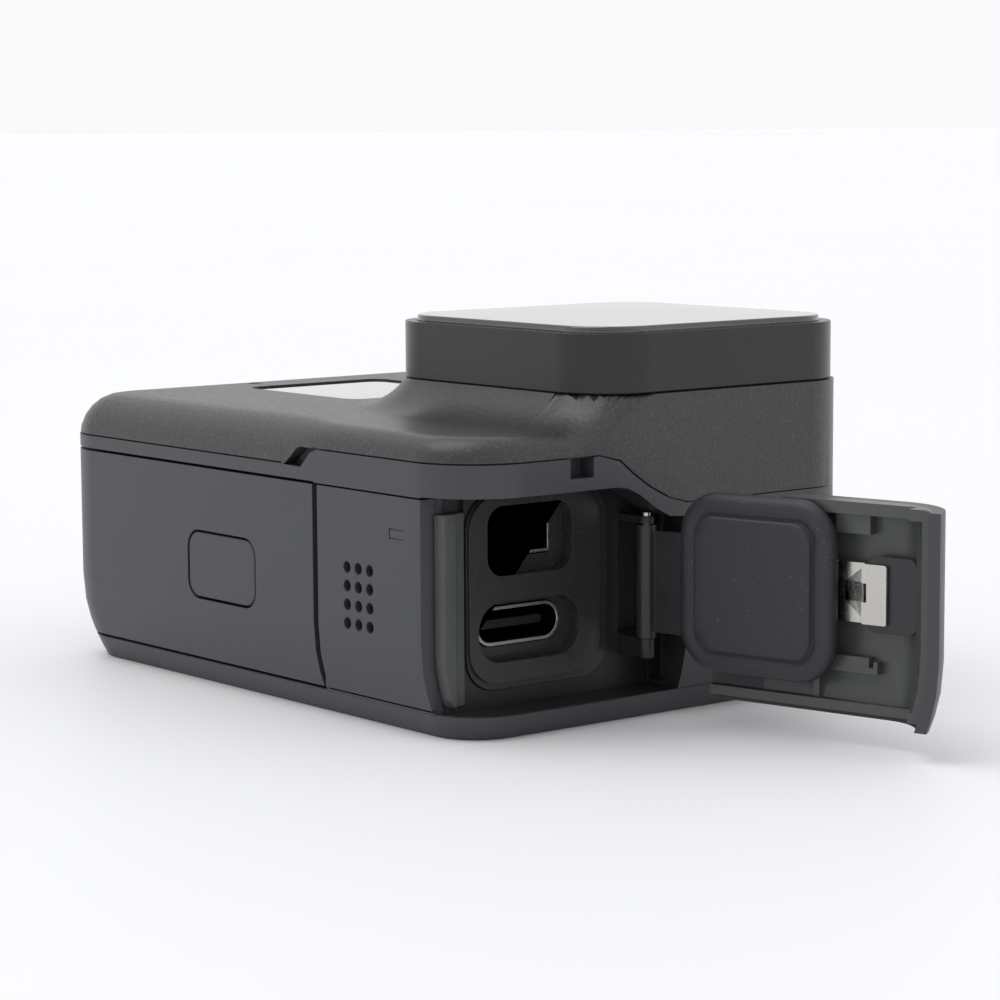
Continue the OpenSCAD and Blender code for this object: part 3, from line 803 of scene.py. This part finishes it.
@dataclass
class Casing(SubAssembly):
    """The outer casing: housing, front shell, bezel, speaker panel and the bay's corner post."""

    title = "casing"
    hard_edge: EdgeRounding = EdgeRounding(0.12 * MM)
    shell_edge: EdgeRounding = EdgeRounding(0.28 * MM, 3)
    bay_low: Vector = Vector((25.0, -20.6, 2.0)) * MM
    bay_high: Vector = Vector((30.9, 1.75, 20.0)) * MM

    def housing(self) -> None:
        """Finishes the main housing, with painted shade on the walls inside the port bay."""
        # the walls inside the port bay get the darker copy of the plastic: painted shade
        bay = Zone(BAY_PAINTED_SHADE, self.bay_low, self.bay_high)
        self.soften("main_housing", HARD_SHELL, self.hard_edge, bay)

    def skins(self) -> None:
        """Finishes the parts round the housing."""
        self.soften("front_shell", SHELL_TOUCH, self.shell_edge)
        self.soften("rear_bezel", HARD_SHELL, self.hard_edge)
        self.soften("speaker_panel", HARD_SHELL, EdgeRounding(0.07 * MM))
        self.soften("bay_corner_post", INNER_PLASTIC, EdgeRounding(0.1 * MM))

    def build(self) -> None:
        """Makes the casing."""
        self.housing()
        self.skins()
        self.keep({"speaker_driver": DARK_PLASTIC, "speaker_mesh": MESH_CLOTH})
        self.keep({"microphone_mesh": MESH_CLOTH, "housing_screws": PIN_STEEL})


@dataclass
class Lens(SubAssembly):
    """The square lens housing, its cover glass, and the barrel with stepped baffles."""

    title = "lens"
    housing_edge: EdgeRounding = EdgeRounding(0.3 * MM, 3)
    foot_radius: float = 7.0 * MM
    waist_radius: float = 9.6 * MM
    throat_radius: float = 7.5 * MM
    bore_radius: float = 5.0 * MM
    baffles: int = 6
    facets: int = 96

    def profile(self, low: float, high: float, rim: float) -> list[tuple[float, float]]:
        """The barrel's section, as radius and height, from its bore round the outside to the bore again.

        Args:
            low: Height of the barrel's foot.
            high: Height of its rim.
            rim: Radius of its rim.

        Returns:
            The corners of a closed section.
        """
        seat, waist, collar = low + 13.2 * MM, low + 11.9 * MM, high - 3 * MM
        outside = [(self.bore_radius, low), (self.foot_radius, low), (self.foot_radius, waist)]
        outside += [(self.waist_radius, waist), (self.waist_radius, collar), (rim, collar), (rim, high)]
        mouth, throat = rim - 1.1 * MM, self.throat_radius
        rise, shrink = (high - seat - 6 * MM) / self.baffles, (mouth - throat) / self.baffles
        inside = []
        for i in range(self.baffles):
            inside.append((mouth - i * shrink, high - i * rise))
            inside.append((mouth - i * shrink, high - (i + 1) * rise))
        inside += [(throat, high - self.baffles * rise), (throat, seat), (self.bore_radius, seat)]
        return outside + inside

    def barrel(self) -> None:
        """Turns the barrel's section about the lens's axis."""
        low, high = (Vector(corner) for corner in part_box("lens_barrel"))
        centre = Vector(((low.x + high.x) / 2, (low.y + high.y) / 2, 0))
        shape = bmesh.new()
        corners = self.profile(low.z, high.z, (high.x - low.x) / 2)
        ring = bmesh.ops.create_circle(shape, cap_ends=False, segments=len(corners), radius=1.0)["verts"]
        for vert, (radius, height) in zip(ring, corners):
            vert.co = centre + Vector((radius, 0, height))
        bmesh.ops.spin(
            shape,
            geom=shape.edges[:] + shape.verts[:],
            cent=centre,
            axis=(0, 0, 1),
            angle=math.tau,
            steps=self.facets,
            use_merge=True,
        )
        bmesh.ops.recalc_face_normals(shape, faces=shape.faces)
        piece = publish(as_object("lens_barrel_turned", shape, DARK_PLASTIC), "lens_barrel")
        EdgeRounding(0.06 * MM, 1).apply(piece)
        LOG.info("lens: barrel, %d baffles", self.baffles)

    def build(self) -> None:
        """Makes the lens."""
        self.soften("lens_housing", SATIN_HOUSING, self.housing_edge)
        self.soften("lens_cover_glass", LENS_COVER, EdgeRounding(0.2 * MM))
        self.barrel()
        self.keep({"lens_gasket": BLACK_RUBBER, "lens_front_element": LENS_GLASS})
        self.keep({"lens_rear_element": LENS_GLASS, "sensor_board": BOARD})


@dataclass
class Displays(SubAssembly):
    """The rear and front displays and the status lamp."""

    title = "displays"
    glass_edge: EdgeRounding = EdgeRounding(0.1 * MM)

    def build(self) -> None:
        """Makes the displays."""
        for node in ("rear_display_glass", "front_display_glass"):
            self.soften(node, DISPLAY_GLASS, self.glass_edge)
        self.keep({"rear_display_panel": DISPLAY_FILM, "front_display_panel": DISPLAY_FILM})
        self.keep({"status_lamps": LAMP})


@dataclass
class Electronics(SubAssembly):
    """What lies inside the casing."""

    title = "electronics"
    corner: EdgeRounding = EdgeRounding(0.3 * MM, 3)

    def build(self) -> None:
        """Makes the boards, the battery and the card."""
        self.soften("battery", BATTERY_WRAP, self.corner)
        self.keep({"main_board": BOARD, "heat_spreader": SHEET_METAL, "battery_pull_tab": PULL_TAB})
        self.keep({"battery_contacts": GOLD_CONTACT, "memory_card": DARK_PLASTIC})
        self.keep({"memory_card_slot": SHEET_METAL, "port_board": BOARD})


@dataclass
class PortBay(SubAssembly):
    """The plate with its two sockets, and the steel pin beside it."""

    title = "port bay"
    plate_edge: EdgeRounding = EdgeRounding(0.3 * MM, 3)
    socket_edge: EdgeRounding = EdgeRounding(0.05 * MM)
    rim_depth: float = 0.12 * MM

    def socket(self, node: str) -> None:
        """Finishes one socket: steel darkened with painted shade inside, plain bright steel on its front rim.

        Args:
            node: The socket's CAD node.
        """
        low, high = (Vector(corner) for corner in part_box(node))
        rim = Vector((high.x - self.rim_depth, low.y, low.z))
        margin = Vector((1, 1, 1)) * self.rim_depth
        front = Zone(RIM_STEEL, rim - margin, high + margin)
        # the socket behind its front rim is darkened with painted shade
        self.soften(node, SOCKET_PAINTED_SHADE_STEEL, self.socket_edge, front)

    def contacts(self) -> None:
        """Finishes the video socket's tongue: dark, with plated fingers on top."""
        low, high = (Vector(corner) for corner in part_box("video_port_contacts"))
        fingers = Vector((low.x - MM, low.y - MM, high.z - 0.1 * MM))
        zone = Zone(GOLD_CONTACT, fingers, high + Vector((MM, MM, MM)))
        self.soften("video_port_contacts", DARK_PLASTIC, EdgeRounding(0.02 * MM, 1), zone)

    def build(self) -> None:
        """Makes the bay."""
        self.soften("port_plate", BAY_PLASTIC, self.plate_edge)
        self.socket("data_port_shell")
        self.socket("video_port_shell")
        self.contacts()
        self.keep({"data_port_tongue": DARK_PLASTIC, "side_hinge_pin": PIN_STEEL})


@dataclass
class SideDoor(SubAssembly):
    """The open door: hinge arm, carriage, seal pad, skin, inner moulding and latch."""

    title = "side door"
    thin_edge: EdgeRounding = EdgeRounding(0.08 * MM)
    pad_corner: float = 3.6 * MM
    lip_depth: float = 0.35 * MM
    lip_round: float = 0.9 * MM
    lip_steps: int = 6
    back_depth: float = 1.55 * MM
    back_chamfer: float = 0.12 * MM
    groove: float = 0.16 * MM
    square_inset: float = 1.86 * MM
    corner_points: int = 8

    def outline(self, inset: float, depth: float) -> Outline:
        """One of the pad's outlines, placed on the open door.

        Args:
            inset: How far it lies inside the pad's rim.
            depth: Its distance behind the pad's front face.

        Returns:
            The outline's points in the object's own space.
        """
        hinge = next(j for j in frame["joints"] if j["name"] == "side_door_hinge")
        slide = next(j for j in frame["joints"] if j["name"] == "seal_carriage_slide")
        pivot, opened = Vector(hinge["pos_m"]), -math.radians(hinge["range_deg"][0])
        shift = Vector((0, slide["range_m"][0], 0))
        corners = [Vector(v.co) for v in frame["nodes"]["seal_pad"].data.vertices]
        back = Matrix.Rotation(-opened, 3, "Z")
        local = [back @ (place - pivot) for place in corners]
        low = Vector([min(p[i] for p in local) for i in range(3)]) + pivot - shift
        high = Vector([max(p[i] for p in local) for i in range(3)]) + pivot - shift
        half_y, half_z = (high.y - low.y) / 2 - inset, (high.z - low.z) / 2 - inset
        radius = max(self.pad_corner - inset, 0.3 * MM)
        points = []
        for quarter in range(4):
            sign_y, sign_z = ((1, 1), (-1, 1), (-1, -1), (1, -1))[quarter]
            middle_y = (low.y + high.y) / 2 + sign_y * (half_y - radius)
            middle_z = (low.z + high.z) / 2 + sign_z * (half_z - radius)
            for step in range(self.corner_points + 1):
                angle = math.pi / 2 * (quarter + step / self.corner_points)
                y, z = middle_y + radius * math.cos(angle), middle_z + radius * math.sin(angle)
                closed = Vector((low.x + depth, y, z)) + shift - pivot
                points.append(Matrix.Rotation(opened, 3, "Z") @ closed + pivot)
        return points

    def pad(self) -> None:
        """Moulds the seal pad: a thick rounded lip, a fine groove and a raised square."""
        lip, bend = self.lip_depth, self.lip_round
        depths = [(self.back_chamfer, self.back_depth), (0.0, 1.42 * MM), (0.0, lip + bend)]
        for step in range(1, self.lip_steps + 1):
            angle = math.pi / 2 * step / self.lip_steps
            depths.append((bend * (1 - math.cos(angle)), lip + bend * (1 - math.sin(angle))))
        edge = self.square_inset
        depths += [(edge - 0.34 * MM, lip + 0.02 * MM), (edge - 0.2 * MM, lip + self.groove)]
        depths += [(edge - 0.06 * MM, lip + self.groove), (edge, lip * 0.7), (edge + 0.08 * MM, 0.1 * MM)]
        depths += [(edge + 0.25 * MM, 0.0), (edge + 1.2 * MM, 0.03 * MM), (edge + 3 * MM, 0.06 * MM)]
        loft = Loft("seal_pad_moulded", [self.outline(inset, depth) for inset, depth in depths])
        piece = publish(loft.piece(PAD_RUBBER), "seal_pad")
        weights = piece.modifiers.new("face_weights", "WEIGHTED_NORMAL")
        weights.keep_sharp = False
        LOG.info("side door: seal pad, %d outlines", len(depths))

    def build(self) -> None:
        """Makes the side door."""
        self.pad()
        self.soften("side_hinge_arm", BAY_PLASTIC, self.thin_edge)
        self.soften("seal_carriage", BAY_PLASTIC, self.thin_edge)
        self.soften("side_door_shell", DOOR_SKIN, EdgeRounding(0.12 * MM))
        self.soften("side_door_carrier", INNER_PLASTIC, self.thin_edge)
        self.soften("latch_slider", SLIDER_PLASTIC, self.thin_edge)
        self.soften("latch_plate", BRIGHT_NICKEL, EdgeRounding(0.06 * MM))


@dataclass
class BatteryDoor(SubAssembly):
    """The battery door with its latch button, seal and hinge."""

    title = "battery door"
    skin_edge: EdgeRounding = EdgeRounding(0.08 * MM)
    button_edge: EdgeRounding = EdgeRounding(0.16 * MM, 3)

    def build(self) -> None:
        """Makes the battery door."""
        self.soften("battery_door_shell", DOOR_SKIN, self.skin_edge)
        self.soften("battery_latch_button", DOOR_SKIN, self.button_edge)
        self.keep({"battery_door_seal": BLACK_RUBBER, "battery_hinge_pin": PIN_STEEL})
        self.keep({"battery_latch_spring": PIN_STEEL})


@dataclass
class Buttons(SubAssembly):
    """The shutter and mode buttons with their springs."""

    title = "buttons"
    cap_edge: EdgeRounding = EdgeRounding(0.25 * MM, 3)

    def build(self) -> None:
        """Makes the buttons."""
        self.soften("shutter_button", HARD_SHELL, self.cap_edge)
        self.soften("mode_button", HARD_SHELL, self.cap_edge)
        self.soften("shutter_ring", RED_PLASTIC, EdgeRounding(0.1 * MM))
        CoilSpring("shutter_spring", 1).build()
        CoilSpring("mode_spring", 0, wire=0.09 * MM, turns=2).build()


# ------------------------------------------------------------------ studio


@dataclass
class Studio:
    """Pale floor, soft light and the camera.

    The camera's numbers are its place round the body's rear face, in degrees and metres.
    """

    azimuth: float = 51.076
    elevation: float = 7.027
    roll: float = -0.312
    distance: float = 278.862 * MM
    aim_right: float = 4.970 * MM
    aim_up: float = 15.416 * MM
    focal: float = 108.97
    sensor: float = 36.0
    floor_side: float = 60.0
    floor_gap: float = 0.02 * MM
    room_light: float = 0.7
    horizon_light: float = 0.965
    horizon_slope: float = 7.0
    horizon_start: float = 0.6
    dim_light: float = 0.06
    dim_side: Vector = Vector((0.66, -0.74, 0.12))
    dim_width: float = 2.4
    sun_power: float = 0.95
    sun_spread: float = 50.0
    sun_side: Vector = Vector((-0.28, -0.3, 1.0))

    def camera(self) -> None:
        """Places the camera and makes it the scene's own."""
        turn, tilt, roll = (math.radians(a) for a in (self.azimuth, self.elevation, self.roll))
        back = Vector((math.cos(tilt) * math.sin(turn), -math.cos(tilt) * math.cos(turn), math.sin(tilt)))
        right = Vector((math.cos(turn), math.sin(turn), 0))
        up = back.cross(right)
        right_rolled = right * math.cos(roll) + up * math.sin(roll)
        up_rolled = up * math.cos(roll) - right * math.sin(roll)
        place = back * self.distance + right_rolled * self.aim_right + up_rolled * self.aim_up
        data = bpy.data.cameras.new("studio_camera")
        data.lens = self.focal
        data.sensor_width = self.sensor
        data.clip_start = 0.01
        data.clip_end = 50
        camera = bpy.data.objects.new("studio_camera", data)
        bpy.context.scene.collection.objects.link(camera)
        axes = Matrix((right_rolled, up_rolled, back)).transposed()
        camera.matrix_world = Matrix.Translation(place) @ axes.to_4x4()
        bpy.context.scene.camera = camera

    def floor(self) -> None:
        """Lays the floor just under the object."""
        shape = bmesh.new()
        bmesh.ops.create_grid(shape, x_segments=1, y_segments=1, size=self.floor_side / 2)
        bmesh.ops.translate(shape, verts=shape.verts, vec=(0, 0, CAD_BOX[0][2] - self.floor_gap))
        g = Graph("pale_floor")
        pale = g.blend(g.noise(0.2, 2), (0.905, 0.908, 0.922), (0.92, 0.923, 0.935))
        mesh = bpy.data.meshes.new("floor")
        shape.to_mesh(mesh)
        shape.free()
        mesh.materials.append(g.finish(Base_Color=pale, Roughness=0.55))
        floor = bpy.data.objects.new("floor", mesh)
        bpy.context.scene.collection.objects.link(floor)

    def world(self) -> None:
        """Fills the room with soft white light: brightest at the horizon and dimmer on one side."""
        world = bpy.data.worlds.new("white_room")
        world.use_nodes = True
        tree = world.node_tree
        tree.nodes.clear()

        def maths(kind: Maths, first: object, second: float) -> bpy.types.NodeSocket:
            """Adds one Math node, held between 0 and 1.

            Args:
                kind: Its operation.
                first: The socket that feeds it.
                second: Its other number.

            Returns:
                Its result.
            """
            made = tree.nodes.new("ShaderNodeMath")
            made.operation = kind.value
            made.use_clamp = True
            made.inputs[1].default_value = second
            tree.links.new(first, made.inputs[0])
            return made.outputs[0]

        def light(strength: float) -> bpy.types.NodeSocket:
            """Adds one even white light.

            Args:
                strength: How bright it is.

            Returns:
                Its light.
            """
            made = tree.nodes.new("ShaderNodeBackground")
            made.inputs["Color"].default_value = (0.985, 0.988, 1.0, 1.0)
            made.inputs["Strength"].default_value = strength
            return made.outputs[0]

        def mixed(amount: object, first: object, second: object) -> bpy.types.NodeSocket:
            """Adds one Mix Shader.

            Args:
                amount: The socket that says how much of the second shows.
                first: A light.
                second: A light.

            Returns:
                The mixed light.
            """
            made = tree.nodes.new("ShaderNodeMixShader")
            for slot, source in enumerate((amount, first, second)):
                tree.links.new(source, made.inputs[slot])
            return made.outputs[0]

        place = tree.nodes.new("ShaderNodeTexCoord").outputs["Generated"]
        facing = tree.nodes.new("ShaderNodeVectorMath")
        facing.operation = "DOT_PRODUCT"
        facing.inputs[1].default_value = self.dim_side.normalized()
        tree.links.new(place, facing.inputs[0])
        lobe = maths(Maths.POWER, maths(Maths.ADD, facing.outputs["Value"], 0.0), self.dim_width)
        split = tree.nodes.new("ShaderNodeSeparateXYZ")
        tree.links.new(place, split.inputs[0])
        height = maths(Maths.ABSOLUTE, split.outputs["Z"], 0.0)
        fall = maths(Maths.SUBTRACT, maths(Maths.MULTIPLY, height, self.horizon_slope), self.horizon_start)
        room = mixed(lobe, light(self.room_light), light(self.dim_light))
        out = tree.nodes.new("ShaderNodeOutputWorld")
        tree.links.new(mixed(fall, light(self.horizon_light), room), out.inputs["Surface"])
        bpy.context.scene.world = world

    def sun(self) -> None:
        """Hangs one very wide soft light overhead."""
        data = bpy.data.lights.new("soft_overhead", "SUN")
        data.energy = self.sun_power
        data.angle = math.radians(self.sun_spread)
        lamp = bpy.data.objects.new("soft_overhead", data)
        bpy.context.scene.collection.objects.link(lamp)
        lamp.rotation_euler = self.sun_side.to_track_quat("Z", "Y").to_euler()

    def build(self) -> None:
        """Sets up the whole studio."""
        self.camera()
        self.floor()
        self.world()
        self.sun()
        bpy.context.scene.view_settings.view_transform = "Standard"
        LOG.info("studio: camera, floor, room and overhead light")


def main() -> None:
    """Builds the studio and every sub-assembly in order."""
    logging.basicConfig(level=logging.INFO, format="%(name)s: %(message)s")
    Studio().build()
    inside = (Lens(), Displays(), Electronics(), PortBay())
    for group in (Casing(), *inside, SideDoor(), BatteryDoor(), Buttons()):
        group.build()


if __name__ == "__main__":
    main()
